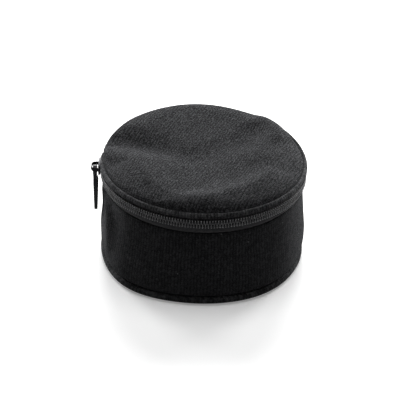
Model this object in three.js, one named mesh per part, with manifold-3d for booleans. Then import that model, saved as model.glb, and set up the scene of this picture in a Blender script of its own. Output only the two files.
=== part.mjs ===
import * as THREE from 'three';
import Module from 'manifold-3d';

// A round zipped pouch for cables: a padded drum of black knit with a domed lid on a coil zip.
// Millimetres and degrees. The origin is the middle of the underside, Z is up, the hinge is at +Y.

// Zip chain: two nylon coils that mesh, sewn to two tapes
const zipRadius = 46;
const zipLevel = 41.7;
const chainWidth = 4.1;
const toothPitch = 1.21;
const coilDepth = 1.25;
const wireDepth = 0.42;
const wireClearance = 0.1;
const interlock = 0.8;
const legLead = 0.3;
const shoulderFlare = 1.4;
const coilSeat = 0.1;
const coilLead = 0.9;
const tapeThickness = 0.45;
const tapeSlit = 1.5;
const tapeBulge = 0.25;
const tapeBulgeRise = 1.4;
const tapeHem = 0.5;

// Layers of the padded wall, base and lid
const layerGap = 0.3;
const fabricThickness = 0.8;
const foamThickness = 2.3;
const liningThickness = 0.6;
const boardThickness = 1.5;
const bindingThickness = 0.5;
const bindingWidth = 3;
const bindingFold = 0.7;

// Outline of the wall and base
const wallSwell = 1.35;
const wallTopInset = 0.15;
const wallFullFrom = 0.2;
const wallFullTo = 0.45;
const wallWaist = 0.8;
const wallWaistInset = 0.75;
const foamSwell = 1.2;
const lowerTapeShown = 5.5;
const tapeTuck = 1.4;
const baseSeamLevel = 4;
const baseSeamInset = 0.7;
const baseRimInset = 0.15;
const baseRimLevel = 1.3;
const baseRimRound = 1.4;
const baseRimShoulder = 0.15;
const baseRimFold = 1.1;

// Lid: a band beside the zip and a soft dome, higher towards one side, with a crease and a dip
const bandOverhang = 0.2;
const upperTapeShown = 2.5;
const bandHeight = 2.2;
const bandRound = 0.35;
const bandSeam = 0.7;
const lidInset = 1.8;
const domeRise = 6.4;
const domeLean = 2.6;
const domeFullness = 7;
const domeLeanAzimuth = 35;
const creaseAzimuth = 118;
const creaseDepth = 1.3;
const creaseWidth = 6;
const creaseLength = 26;
const dipAzimuth = 0;
const dipDepth = 1.6;
const dipWidth = 9;
const dipLength = 14;

// Hinge: the stretch at the back that the zip leaves closed
const hingeAzimuth = 90;
const hingeHalfAngle = 29.6;
const hingeEndGap = 0.4;
const hingeBulge = 0.7;
const hingeBulgeShare = 0.4;

// Slider, crown and pull
const sliderAzimuth = 125.5;
const sliderLength = 8.6;
const sliderTailShare = 0.86;
const sliderTaperFrom = 1.5;
const sliderCornerShare = 0.45;
const plateThickness = 0.8;
const sliderClearance = 0.2;
const lipThickness = 0.45;
const lipReach = 0.75;
const backClearance = 0.4;
const postWidth = 1.1;
const postLength = 2.8;
const postInset = 0.25;
const postTaperShare = 0.45;
const crownReach = 3.5;
const crownThickness = 0.9;
const crownWidth = 2.2;
const crownSpan = 6.9;
const crownSeat = 0.1;
const crownBendShare = 0.6;
const pullLength = 23.2;
const pullWidth = 4.6;
const pullHeadThickness = 1.8;
const pullTipThickness = 1.2;
const pullNeckWidth = 2.6;
const pullRingWidth = 0.95;
const pullClearance = 0.22;
const pullOffset = 0.45;
const pullTipShare = 0.85;
const pullShoulder = 3.2;
const pullNeckBend = 1.2;

// Facets: full rings that show, rings inside, and the fan of the hinge
const shownSides = 40;
const hiddenSides = 24;
const hingeSides = 8;
const domeRings = 5;
const bendSegments = 5;
const ringSegments = 8;

const wasm = await Module();
wasm.setup();

const radians = THREE.MathUtils.degToRad;
const polar = (radius, angle, height) => [radius * Math.cos(angle), radius * Math.sin(angle), height];

// Materials
const material = (name, color, roughness, metalness = 0) =>
  new THREE.MeshStandardMaterial({ name, color, roughness, metalness });
const knit = material('knit', 0x17181a, 0.92);
const lining = material('lining', 0x232427, 0.85);
const foam = material('foam', 0x3a3b3e, 0.95);
const board = material('board', 0x2c2c2e, 0.7);
const binding = material('binding', 0x1a1a1c, 0.8);
const tape = material('zip_tape', 0x151517, 0.85);
const nylon = material('zip_coil', 0x1d1d20, 0.45);
const metal = material('gunmetal', 0x2b2b2e, 0.28, 0.9);

const pouch = new THREE.Group();

function addPiece(name, geometry, finish, parent = pouch) {
  const mesh = new THREE.Mesh(geometry, finish);
  mesh.name = name;
  parent.add(mesh);
  return mesh;
}

// A closed surface from points and triangles, turned so that its faces point out.
function closedBody(points, triangles) {
  let volume = 0;
  for (const [a, b, c] of triangles) {
    const [p, q, r] = [a, b, c].map((index) => new THREE.Vector3(...points[index]));
    volume += p.dot(q.cross(r));
  }
  const facing = volume < 0 ? triangles.map(([a, b, c]) => [a, c, b]) : triangles;
  const geometry = new THREE.BufferGeometry();
  geometry.setAttribute('position', new THREE.Float32BufferAttribute(points.flat(), 3));
  geometry.setIndex(facing.flat());
  geometry.computeVertexNormals();
  return geometry;
}

// Joins equal outlines, one after another, and closes both ends.
function loft(outlines, endTriangles) {
  const count = outlines[0].length;
  const last = (outlines.length - 1) * count;
  const triangles = [];
  for (let row = 0; row < last; row += count) {
    for (let i = 0; i < count; i += 1) {
      const next = (i + 1) % count;
      triangles.push([row + i, row + next, row + count + next]);
      triangles.push([row + i, row + count + next, row + count + i]);
    }
  }
  for (const [a, b, c] of endTriangles) {
    triangles.push([a, c, b], [last + a, last + b, last + c]);
  }
  return closedBody(outlines.flat(), triangles);
}

// A full ring or disc, from an outline of [radius, height] points turned round Z.
function revolved(outline, sides) {
  const points = outline.map(([radius, height]) => new THREE.Vector2(radius, height));
  if (THREE.ShapeUtils.area(points) < 0) points.reverse();
  if (points[0].x > 0) points.push(points[0].clone());
  return new THREE.LatheGeometry(points, sides).rotateX(Math.PI / 2);
}

// Part of a ring between two azimuths, from the same kind of outline.
function sweptArc(outline, from, to, steps) {
  const points = outline.map(([radius, height]) => new THREE.Vector2(radius, height));
  const outlines = [];
  for (let step = 0; step <= steps; step += 1) {
    const angle = radians(from + (to - from) * step / steps);
    outlines.push(outline.map(([radius, height]) => polar(radius, angle, height)));
  }
  return loft(outlines, THREE.ShapeUtils.triangulateShape(points, []));
}

// The same outline moved inwards and returned, as a sheet of even thickness.
const sheet = (outer, thickness) =>
  [...outer, ...outer.map(([radius, height]) => [radius - thickness, height]).reverse()];

// Base: knit disc with a rolled rim, stiffening board, lining and seam binding
const tapeRadius = zipRadius - coilDepth - coilSeat;
const wallTopRadius = tapeRadius - wallTopInset;
const wallRadius = tapeRadius + wallSwell;
const wallSeamLevel = zipLevel - lowerTapeShown;
const baseSeamRadius = wallRadius - baseSeamInset;
const baseRimRadius = wallRadius - baseRimInset;
const baseFlatRadius = baseRimRadius - baseRimRound;
const foamRadius = wallTopRadius - fabricThickness - layerGap;
const liningRadius = foamRadius - foamThickness - layerGap;
const cavityRadius = liningRadius - liningThickness;
const boardRadius = baseFlatRadius - fabricThickness - layerGap;
const boardLevel = fabricThickness + layerGap;
const baseLiningLevel = boardLevel + boardThickness + layerGap;
const baseFloorLevel = baseLiningLevel + liningThickness;

function basePanel() {
  const inner = baseFlatRadius - fabricThickness;
  return revolved([
    [0, 0],
    [baseFlatRadius, 0],
    [baseRimRadius, baseRimLevel],
    [baseRimRadius - baseRimShoulder, (baseRimLevel + 2 * baseSeamLevel) / 3],
    [baseSeamRadius, baseSeamLevel],
    [baseSeamRadius - fabricThickness, baseSeamLevel],
    [baseRimRadius - baseRimFold, baseRimLevel],
    [inner, fabricThickness],
    [0, fabricThickness],
  ], shownSides);
}

const disc = (radius, bottom, thickness) =>
  revolved([[0, bottom], [radius, bottom], [radius, bottom + thickness], [0, bottom + thickness]],
    hiddenSides);

function baseBinding() {
  const outer = cavityRadius - layerGap;
  const bottom = baseFloorLevel + layerGap;
  return revolved([
    [outer - bindingWidth, bottom],
    [outer, bottom],
    [outer, bottom + bindingWidth],
    [outer - bindingThickness, bottom + bindingWidth],
    [outer - bindingThickness, bottom + bindingThickness],
    [outer - bindingWidth, bottom + bindingThickness],
  ], hiddenSides);
}

addPiece('base_panel', basePanel(), knit);
addPiece('base_board', disc(boardRadius, boardLevel, boardThickness), board);
addPiece('base_lining', disc(cavityRadius - layerGap, baseLiningLevel, liningThickness), lining);
addPiece('base_binding', baseBinding(), binding);

// Wall: knit outside, foam, lining, and a binding over the inner top edge
const wallBottom = baseSeamLevel + layerGap;
const wallHeight = wallSeamLevel - wallBottom;
const foamTop = wallSeamLevel - tapeTuck - layerGap;

function wallPanel() {
  return revolved(sheet([
    [baseSeamRadius, wallBottom],
    [wallRadius, wallBottom + wallHeight * wallFullFrom],
    [wallRadius, wallBottom + wallHeight * wallFullTo],
    [wallRadius - wallWaistInset, wallBottom + wallHeight * wallWaist],
    [wallTopRadius, wallSeamLevel],
  ], fabricThickness), shownSides);
}

function wallBinding() {
  const inner = cavityRadius - layerGap - bindingThickness;
  const top = foamTop + layerGap + bindingThickness;
  return revolved([
    [inner, top - bindingWidth],
    [inner + bindingThickness, top - bindingWidth],
    [inner + bindingThickness, top - bindingThickness],
    [foamRadius - tapeThickness - layerGap, top - bindingThickness],
    [foamRadius - tapeThickness - layerGap, top],
    [inner, top],
  ], hiddenSides);
}

// The foam fills the wall's belly and thins towards both edges.
function wallFoam() {
  const inner = foamRadius - foamThickness;
  return revolved([
    [foamRadius, baseLiningLevel],
    [foamRadius + foamSwell, wallBottom + wallHeight * wallFullFrom],
    [foamRadius + foamSwell, wallBottom + wallHeight * wallFullTo],
    [foamRadius + foamSwell / 2, wallBottom + wallHeight * wallWaist],
    [foamRadius, foamTop],
    [inner, foamTop],
    [inner, baseLiningLevel],
  ], hiddenSides);
}

function wallLining() {
  const inner = liningRadius - liningThickness;
  return revolved([
    [liningRadius, baseLiningLevel],
    [liningRadius, foamTop],
    [inner, foamTop],
    [inner, baseLiningLevel],
  ], hiddenSides);
}

addPiece('wall_panel', wallPanel(), knit);
addPiece('wall_foam', wallFoam(), foam);
addPiece('wall_lining', wallLining(), lining);
addPiece('wall_binding', wallBinding(), binding);

// Zip tapes: the lower one tucked behind the wall, the upper one behind the lid band
const bandLowerLevel = zipLevel + upperTapeShown;
const lidSeamLevel = bandLowerLevel + bandHeight;
const zipStart = hingeAzimuth + hingeHalfAngle + hingeEndGap;
const zipEnd = hingeAzimuth + 360 - hingeHalfAngle - hingeEndGap;
const lowerTapeEdge = zipLevel - tapeSlit / 2;
const upperTapeEdge = zipLevel + tapeSlit / 2;

function lowerTape() {
  return sweptArc(sheet([
    [foamRadius, wallSeamLevel - tapeTuck],
    [foamRadius, wallSeamLevel],
    [tapeRadius + tapeBulge, wallSeamLevel + tapeBulgeRise],
    [tapeRadius, lowerTapeEdge],
  ], tapeThickness), zipStart, zipEnd, shownSides);
}

const bandInner = tapeRadius - layerGap - tapeThickness;

function upperTape() {
  return sweptArc(sheet([
    [tapeRadius, upperTapeEdge],
    [tapeRadius, bandLowerLevel - layerGap],
    [bandInner, bandLowerLevel + tapeHem],
    [bandInner, lidSeamLevel - tapeHem],
  ], tapeThickness), zipStart, zipEnd, shownSides);
}

addPiece('lower_zip_tape', lowerTape(), tape);
addPiece('upper_zip_tape', upperTape(), tape);

// Zip coils: each one unbroken wire, wound in flat loops whose heads mesh with the other coil's
const wireWidth = toothPitch / 2 - wireClearance;
const coilMiddleRadius = zipRadius - coilDepth / 2;
const coilStart = sliderAzimuth - THREE.MathUtils.radToDeg(coilLead / coilMiddleRadius);
const turns = Math.floor(radians(zipEnd - coilStart) * coilMiddleRadius / toothPitch) - 1;

// Corners of one loop: how far out, how far from the shoulder towards the head, how far along,
// and how wide. The wire is flattened at its shoulders, where it crosses to the next loop.
function loopCorners() {
  const outer = zipRadius - wireDepth / 2;
  const inner = zipRadius - coilDepth + wireDepth / 2;
  const shoulder = wireDepth / 2;
  const flared = wireWidth * shoulderFlare;
  const head = (chainWidth + interlock) / 2 - wireDepth / 2;
  return [
    { radius: outer, reach: shoulder, along: 0, outward: [1, -1], width: flared },
    { radius: outer, reach: head, along: 0, outward: [1, 1], width: wireWidth },
    { radius: inner, reach: head, along: legLead, outward: [-1, 1], width: wireWidth },
    { radius: inner, reach: shoulder, along: legLead, outward: [-1, -1], width: flared },
  ];
}

// The side is 1 for the upper coil, whose heads point down, and -1 for the lower one.
function zipCoil(side, startShift) {
  const corners = loopCorners();
  const half = wireDepth / 2;
  const sections = [];
  for (let turn = 0; turn < turns; turn += 1) {
    for (const { radius, reach, along, outward, width } of corners) {
      const section = [[half, 0], [-half, -width / 2], [-half, width / 2]];
      sections.push(section.map(([out, across]) => {
        const arc = (turn + along + startShift) * toothPitch + across;
        const angle = radians(coilStart) + arc / coilMiddleRadius;
        const edge = zipLevel + side * (chainWidth / 2 - reach - out * outward[1]);
        return polar(radius + out * outward[0], angle, edge);
      }));
    }
  }
  return loft(sections, [[0, 1, 2]]);
}

addPiece('lower_zip_coil', zipCoil(-1, 0.5), nylon);
addPiece('upper_zip_coil', zipCoil(1, 1), nylon);

const turnGap = toothPitch - wireWidth * shoulderFlare;
const legGap = coilDepth - 2 * wireDepth;
console.log(`least gap of a coil to itself ${Math.min(turnGap, legGap).toFixed(2)} mm, ${turns} turns`);

// Lid: the dome's height over the plan, with its lean, crease and dip
const lidRadius = zipRadius - lidInset;
const bandRadius = zipRadius + bandOverhang;

const alongAzimuth = (x, y, azimuth) => x * Math.cos(radians(azimuth)) + y * Math.sin(radians(azimuth));

// A soft furrow that starts at the rim at one azimuth and fades towards the middle.
function furrow(x, y, azimuth, depth, width, length) {
  const inward = lidRadius - alongAzimuth(x, y, azimuth);
  const aside = alongAzimuth(x, y, azimuth + 90);
  return depth * Math.exp(-((aside / width) ** 2) - (inward / length) ** 2);
}

function domeHeight(share, angle) {
  const x = lidRadius * share * Math.cos(angle);
  const y = lidRadius * share * Math.sin(angle);
  const lean = domeLean * alongAzimuth(x, y, domeLeanAzimuth) / lidRadius;
  const crease = furrow(x, y, creaseAzimuth, creaseDepth, creaseWidth, creaseLength);
  const dip = furrow(x, y, dipAzimuth, dipDepth, dipWidth, dipLength);
  return Math.sqrt(1 - share ** domeFullness) * (domeRise + lean - crease - dip);
}

// One surface of the lid, as far below its outer skin as the inset, ring by ring from the middle.
const domeLevel = lidSeamLevel + layerGap + fabricThickness / 2;

function domeSurface(inset, sides) {
  const points = [];
  for (let ring = 1; ring <= domeRings; ring += 1) {
    const share = Math.sin(Math.PI / 2 * ring / domeRings);
    for (let side = 0; side < sides; side += 1) {
      const angle = 2 * Math.PI * side / sides;
      const height = domeLevel + domeHeight(share, angle) - inset;
      points.push(polar(share * (lidRadius - inset), angle, height));
    }
  }
  points.push([0, 0, domeLevel + domeHeight(0, 0) - inset]);
  return points;
}

// A domed layer of the lid: it lies below the outer skin by depth, and is as thick as given.
function domedLayer(depth, thickness, sides) {
  const top = domeSurface(depth, sides);
  const bottom = domeSurface(depth + thickness, sides);
  const below = top.length;
  const triangles = [];
  for (let side = 0; side < sides; side += 1) {
    const next = (side + 1) % sides;
    triangles.push([below - 1, side, next], [2 * below - 1, below + next, below + side]);
    for (let ring = 0; ring < domeRings - 1; ring += 1) {
      const a = ring * sides + side;
      const b = ring * sides + next;
      triangles.push([a, a + sides, b + sides], [a, b + sides, b]);
      triangles.push([below + a, below + b + sides, below + a + sides]);
      triangles.push([below + a, below + b, below + b + sides]);
    }
    const a = (domeRings - 1) * sides + side;
    const b = (domeRings - 1) * sides + next;
    triangles.push([a, below + a, below + b], [a, below + b, b]);
  }
  return closedBody([...top, ...bottom], triangles);
}

function lidBand() {
  return sweptArc([
    [tapeRadius + layerGap, bandLowerLevel],
    [bandRadius - bandRound, bandLowerLevel + bandRound],
    [bandRadius, (bandLowerLevel + lidSeamLevel) / 2],
    [bandRadius - bandRound, lidSeamLevel - bandRound],
    [lidRadius + bandSeam, lidSeamLevel],
    [bandInner + layerGap, lidSeamLevel],
    [bandInner + layerGap, bandLowerLevel + tapeHem + layerGap],
  ], zipStart, zipEnd, shownSides);
}

const foamDepth = fabricThickness + layerGap;
const lidBindingTop = domeLevel - 1.5 * layerGap;

// A slanted strip below the lid's layers, as deep as they are.
function lidBinding(depth) {
  const place = (inset, drop) => [lidRadius - inset, lidBindingTop - inset - drop];
  return revolved([
    place(foamDepth, 0),
    place(depth, 0),
    place(depth, bindingFold),
    place(foamDepth, bindingFold),
  ], hiddenSides);
}

const lidLiningDepth = foamDepth + foamThickness + layerGap;

addPiece('lid_panel', domedLayer(0, fabricThickness, shownSides), knit);
addPiece('lid_foam', domedLayer(foamDepth, foamThickness, hiddenSides), foam);
addPiece('lid_lining', domedLayer(lidLiningDepth, liningThickness, hiddenSides), lining);
addPiece('lid_band', lidBand(), knit);
addPiece('lid_binding', lidBinding(lidLiningDepth), binding);

// Hinge: a knit strip between wall and lid where the zip stops, with its lining
function hingeStrip(radius, thickness, bottom, top, bulge) {
  const bend = (top - bottom) * (1 - hingeBulgeShare) / 2;
  return sweptArc(sheet([
    [radius, bottom],
    [radius + bulge, bottom + bend],
    [radius + bulge, top - bend],
    [radius, top],
  ], thickness), hingeAzimuth - hingeHalfAngle, hingeAzimuth + hingeHalfAngle, hingeSides);
}

const hingeBottom = wallSeamLevel + layerGap;
const hingeTop = lidSeamLevel - layerGap / 2;
const hingeLiningRadius = tapeRadius - fabricThickness - layerGap;
const hingeLiningTop = lidBindingTop - foamDepth - bindingFold - layerGap;

addPiece('hinge_panel',
  hingeStrip(tapeRadius, fabricThickness, hingeBottom, hingeTop, hingeBulge), knit);
addPiece('hinge_lining',
  hingeStrip(hingeLiningRadius, liningThickness, hingeBottom, hingeLiningTop, 0), lining);

// Slider: in its own frame X points outwards, Y along the chain away from the closed end, Z up
const slider = new THREE.Group();
slider.rotation.z = radians(sliderAzimuth);
pouch.add(slider);
const sliderHalfWidth = chainWidth / 2 + sliderClearance + lipThickness;
const frontPlateInner = zipRadius + sliderClearance;
const frontPlateOuter = frontPlateInner + plateThickness;
const backPlateOuter = tapeRadius - tapeThickness - backClearance;
const noseLength = sliderLength / 2;

// A flat outline in Y and Z, thickened along X between two distances from the pouch's axis.
const alongX = new THREE.Matrix4().set(0, 0, 1, 0, 1, 0, 0, 0, 0, 1, 0, 0, 0, 0, 0, 1);
function radialSlab(shape, from, to) {
  const slab = { depth: to - from, bevelEnabled: false, curveSegments: bendSegments };
  return new THREE.ExtrudeGeometry(shape, slab).applyMatrix4(alongX).translate(from, 0, 0);
}

// Shield outline of a slider plate: broad shoulders at the closed end, a narrower tail.
function plateShape(halfWidth) {
  const tail = halfWidth * sliderTailShare;
  const corner = halfWidth * sliderCornerShare;
  const shape = new THREE.Shape();
  shape.moveTo(-noseLength + corner, -halfWidth);
  shape.lineTo(sliderTaperFrom, -halfWidth);
  shape.lineTo(noseLength - corner, -tail);
  shape.quadraticCurveTo(noseLength, -tail, noseLength, -tail + corner);
  shape.lineTo(noseLength, tail - corner);
  shape.quadraticCurveTo(noseLength, tail, noseLength - corner, tail);
  shape.lineTo(sliderTaperFrom, halfWidth);
  shape.lineTo(-noseLength + corner, halfWidth);
  shape.quadraticCurveTo(-noseLength, halfWidth, -noseLength, halfWidth - corner);
  shape.lineTo(-noseLength, corner - halfWidth);
  shape.quadraticCurveTo(-noseLength, -halfWidth, -noseLength + corner, -halfWidth);
  return shape;
}

// The wedge between the plates that parts the coils.
function postShape() {
  const from = -noseLength + postInset;
  const taperFrom = from + postLength * postTaperShare;
  const shape = new THREE.Shape();
  shape.moveTo(from, -postWidth / 2);
  shape.lineTo(taperFrom, -postWidth / 2);
  shape.lineTo(from + postLength, 0);
  shape.lineTo(taperFrom, postWidth / 2);
  shape.lineTo(from, postWidth / 2);
  return shape;
}

// One side wall of the channel, on the plate's edge.
function lipShape(side) {
  const inner = side * (sliderHalfWidth - lipThickness);
  const outer = side * sliderHalfWidth;
  const from = -noseLength / 2;
  const shape = new THREE.Shape();
  shape.moveTo(from, inner);
  shape.lineTo(sliderTaperFrom, inner);
  shape.lineTo(sliderTaperFrom, outer);
  shape.lineTo(from, outer);
  return shape;
}

const solid = (geometry) => {
  const merged = mergeCorners(geometry);
  return new wasm.Manifold(new wasm.Mesh({
    numProp: 3,
    vertProperties: merged.points,
    triVerts: merged.triangles,
  }));
};

// Shared corners become one, as a closed solid needs.
function mergeCorners(geometry) {
  const flat = geometry.index ? geometry.toNonIndexed() : geometry;
  const position = flat.getAttribute('position');
  const numbers = new Map();
  const points = [];
  const triangles = [];
  for (let i = 0; i < position.count; i += 1) {
    const corner = [position.getX(i), position.getY(i), position.getZ(i)];
    const key = corner.map((value) => value.toFixed(4)).join(' ');
    if (!numbers.has(key)) {
      numbers.set(key, points.length / 3);
      points.push(...corner);
    }
    triangles.push(numbers.get(key));
  }
  return { points: new Float32Array(points), triangles: new Uint32Array(triangles) };
}

function joined(geometries) {
  const [first, ...others] = geometries.map(solid);
  const whole = others.reduce((sum, other) => sum.add(other), first);
  const mesh = whole.getMesh();
  const geometry = new THREE.BufferGeometry();
  geometry.setAttribute('position', new THREE.BufferAttribute(mesh.vertProperties, 3));
  geometry.setIndex(new THREE.BufferAttribute(mesh.triVerts, 1));
  geometry.computeVertexNormals();
  return geometry;
}

function sliderBody() {
  const sink = plateThickness / 2;
  const front = plateShape(sliderHalfWidth);
  const back = plateShape(sliderHalfWidth - lipThickness);
  return joined([
    radialSlab(front, frontPlateInner, frontPlateOuter),
    radialSlab(back, backPlateOuter - plateThickness, backPlateOuter),
    radialSlab(postShape(), backPlateOuter - sink, frontPlateInner + sink),
    radialSlab(lipShape(1), frontPlateInner - lipReach, frontPlateInner + sink),
    radialSlab(lipShape(-1), frontPlateInner - lipReach, frontPlateInner + sink),
  ]);
}

// The crown: a low arch of strip along the slider, standing on the front plate.
function sliderCrown() {
  const half = crownSpan / 2;
  const foot = frontPlateOuter + crownSeat;
  const top = foot + crownReach;
  const outerBend = crownReach * crownBendShare;
  const innerBend = outerBend - crownThickness;
  const shape = new THREE.Shape();
  shape.moveTo(foot, -half);
  shape.lineTo(top - outerBend, -half);
  shape.quadraticCurveTo(top, -half, top, -half + outerBend);
  shape.lineTo(top, half - outerBend);
  shape.quadraticCurveTo(top, half, top - outerBend, half);
  shape.lineTo(foot, half);
  shape.lineTo(foot, half - crownThickness);
  shape.lineTo(top - outerBend, half - crownThickness);
  shape.quadraticCurveTo(top - crownThickness, half - crownThickness,
    top - crownThickness, half - crownThickness - innerBend);
  shape.lineTo(top - crownThickness, -half + crownThickness + innerBend);
  shape.quadraticCurveTo(top - crownThickness, -half + crownThickness,
    top - outerBend, -half + crownThickness);
  shape.lineTo(foot, -half + crownThickness);
  const strip = { depth: crownWidth, bevelEnabled: false, curveSegments: bendSegments };
  return new THREE.ExtrudeGeometry(shape, strip).translate(0, 0, zipLevel - crownWidth / 2);
}

// Pull: a flat tab whose ring turns on the crown's rear leg, hanging straight down at rest.
const pullPivot = crownSpan / 2 - crownThickness / 2;
const pullHole = Math.hypot(crownThickness, crownWidth) / 2 + pullClearance;

function pullShape() {
  const ring = pullHole + pullRingWidth;
  const neck = pullNeckWidth / 2;
  const half = pullWidth / 2;
  const neckAngle = Math.asin(neck / ring);
  const shoulder = -ring - pullShoulder;
  const tip = ring - pullLength + half;
  const tipHalf = half * pullTipShare;
  const shape = new THREE.Shape();
  shape.absarc(0, 0, ring, -Math.PI / 2 + neckAngle, Math.PI * 1.5 - neckAngle, false);
  shape.quadraticCurveTo(-neck, shoulder + pullNeckBend, -half, shoulder);
  shape.lineTo(-tipHalf, tip);
  shape.absarc(0, tip, tipHalf, Math.PI, Math.PI * 2, false);
  shape.lineTo(half, shoulder);
  shape.quadraticCurveTo(neck, shoulder + pullNeckBend, neck, -ring * Math.cos(neckAngle));
  const hole = new THREE.Path();
  hole.absarc(0, 0, pullHole, 0, Math.PI * 2, true);
  shape.holes.push(hole);
  return shape;
}

// The tab thins from its ring to its tip, on both faces alike.
function pullTab() {
  const half = pullHeadThickness / 2;
  const plate = { depth: pullHeadThickness, bevelEnabled: false, curveSegments: ringSegments };
  const geometry = new THREE.ExtrudeGeometry(pullShape(), plate)
    .applyMatrix4(alongX).translate(-half, 0, 0);
  const position = geometry.getAttribute('position');
  for (let i = 0; i < position.count; i += 1) {
    const down = THREE.MathUtils.clamp(-position.getZ(i) / pullLength, 0, 1);
    const thickness = THREE.MathUtils.lerp(pullHeadThickness, pullTipThickness, down);
    position.setX(i, Math.sign(position.getX(i)) * thickness / 2);
  }
  return geometry;
}

addPiece('slider_body', sliderBody().translate(0, 0, zipLevel), metal, slider);
addPiece('slider_crown', sliderCrown(), metal, slider);
const pull = addPiece('pull_tab', pullTab(), metal, slider);
pull.position.set(frontPlateOuter + pullOffset + pullHeadThickness / 2, pullPivot, zipLevel);

export default pouch;
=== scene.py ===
import math

import bpy
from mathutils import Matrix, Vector, noise


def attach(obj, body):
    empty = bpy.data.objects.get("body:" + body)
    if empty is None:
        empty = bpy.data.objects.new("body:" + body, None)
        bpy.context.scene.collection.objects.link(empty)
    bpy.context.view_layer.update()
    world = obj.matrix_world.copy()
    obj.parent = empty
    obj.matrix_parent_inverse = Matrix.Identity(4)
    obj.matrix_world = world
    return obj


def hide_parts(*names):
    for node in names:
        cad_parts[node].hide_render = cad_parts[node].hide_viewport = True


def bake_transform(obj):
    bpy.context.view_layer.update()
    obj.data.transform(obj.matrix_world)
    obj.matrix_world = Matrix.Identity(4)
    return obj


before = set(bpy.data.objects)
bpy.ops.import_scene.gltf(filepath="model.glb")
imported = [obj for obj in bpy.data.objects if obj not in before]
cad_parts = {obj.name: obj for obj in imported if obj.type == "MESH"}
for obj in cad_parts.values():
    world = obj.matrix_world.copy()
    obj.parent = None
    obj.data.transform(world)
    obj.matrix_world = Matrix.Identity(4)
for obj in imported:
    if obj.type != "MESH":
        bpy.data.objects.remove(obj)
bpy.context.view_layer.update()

# Base cover: the round bottom of black jersey knit, lasted over the stiffening card. Its edge is
# rolled up and stitched to the wall, and shows as a plump rim below the wall's first seam.
MM = 0.001
SIDES = 120
KNIT_THICKNESS = 0.7
BASE_OUTLINE = [(44.2, 3.3), (44.6, 3.9), (45.3, 4.1), (46.0, 3.75), (46.4, 2.9), (46.5, 1.9),
                (46.15, 1.0), (45.4, 0.35), (44.2, 0.05), (41.0, 0.0), (30.0, 0.0), (18.0, 0.0),
                (8.0, 0.0), (0.0, 0.0)]
BASE_TURN = 11
SIDE_FROM = 40
SIDE_STEEPNESS = 6
# A bulge or fold is its azimuth, height, half width in degrees, half height and amount.
LOW_BULGES = [(172, 3, 24, 14, 2.5), (254, 4, 24, 15, 1.0)]


def only(piece):
    """Selects one object and nothing else."""
    bpy.ops.object.select_all(action="DESELECT")
    piece.select_set(True)
    bpy.context.view_layer.objects.active = piece


def rings(name, outline, sides=SIDES, arc=None):
    """A circle drawn at the outline's first point and extruded ring by ring along the others.

    The outline holds (radius, height) in mm. An arc keeps the part between two azimuths."""
    radius, height = outline[0]
    bpy.ops.object.select_all(action="DESELECT")
    bpy.ops.mesh.primitive_circle_add(vertices=sides, radius=radius * MM,
                                      location=(0, 0, height * MM))
    piece = bpy.context.object
    piece.name = name
    bpy.ops.object.transform_apply(location=True)
    bpy.ops.object.mode_set(mode="EDIT")
    if arc:
        bpy.ops.mesh.select_all(action="DESELECT")
        bpy.ops.object.mode_set(mode="OBJECT")
        start, end = arc
        slack = 0.5
        for vertex in piece.data.vertices:
            past = (math.degrees(math.atan2(vertex.co.y, vertex.co.x)) - start) % 360
            vertex.select = end - start + slack < past < 360 - slack
        bpy.ops.object.mode_set(mode="EDIT")
        bpy.ops.mesh.delete(type="VERT")
    bpy.ops.mesh.select_all(action="SELECT")
    for next_radius, next_height in outline[1:]:
        lift = (0, 0, (next_height - height) * MM)
        bpy.ops.mesh.extrude_region_move(TRANSFORM_OT_translate={"value": lift})
        if next_radius:
            share = next_radius / radius
            bpy.ops.transform.resize(value=(share, share, 1), center_override=(0, 0, 0))
        else:
            bpy.ops.mesh.merge(type="CENTER")
        radius, height = next_radius, next_height
    bpy.ops.mesh.select_all(action="SELECT")
    bpy.ops.mesh.normals_make_consistent(inside=False)
    bpy.ops.object.mode_set(mode="OBJECT")
    return piece


def finish_cloth(piece, thickness, levels=1, offset=-1.0):
    """Gives a sheet its thickness in mm and rounds it with subdivision."""
    only(piece)
    wall = piece.modifiers.new("thickness", "SOLIDIFY")
    wall.thickness = thickness * MM
    wall.offset = offset
    bpy.ops.object.modifier_apply(modifier=wall.name)
    if levels:
        round_off = piece.modifiers.new("rounding", "SUBSURF")
        round_off.levels = round_off.render_levels = levels
        bpy.ops.object.modifier_apply(modifier=round_off.name)
    bpy.ops.object.shade_smooth_by_angle(angle=math.radians(60))
    return piece


def plan_uv(piece, turn):
    """Lays the cloth's map flat over the piece, turned by an angle in degrees, in metres."""
    layer = piece.data.uv_layers.new(name="cloth")
    along, across = math.cos(math.radians(turn)), math.sin(math.radians(turn))
    for loop in piece.data.loops:
        point = piece.data.vertices[loop.vertex_index].co
        layer.data[loop.index].uv = (point.x * along + point.y * across,
                                     point.y * along - point.x * across)


def add_node(tree, kind, **settings):
    """A shader node of a kind, with its settings."""
    made = tree.nodes.new("ShaderNode" + kind)
    for key, value in settings.items():
        setattr(made, key, value)
    return made


def calculate(tree, operation, *values, clamp=False):
    """A Math node over numbers and sockets; returns its result."""
    made = add_node(tree, "Math", operation=operation, use_clamp=clamp)
    for socket, value in zip(made.inputs, values):
        if isinstance(value, (int, float)):
            socket.default_value = value
        else:
            tree.links.new(value, socket)
    return made.outputs[0]


def new_group(name, inputs, outputs):
    """An empty node group; the sockets are (name, type) or (name, type, value)."""
    group = bpy.data.node_groups.new(name, "ShaderNodeTree")
    for socket, kind, *value in inputs:
        made = group.interface.new_socket(socket, in_out="INPUT", socket_type="NodeSocket" + kind)
        if value:
            made.default_value = value[0]
    for socket, kind in outputs:
        group.interface.new_socket(socket, in_out="OUTPUT", socket_type="NodeSocket" + kind)
    given = group.nodes.new("NodeGroupInput").outputs
    result = group.nodes.new("NodeGroupOutput").inputs
    return group, given, result


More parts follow.
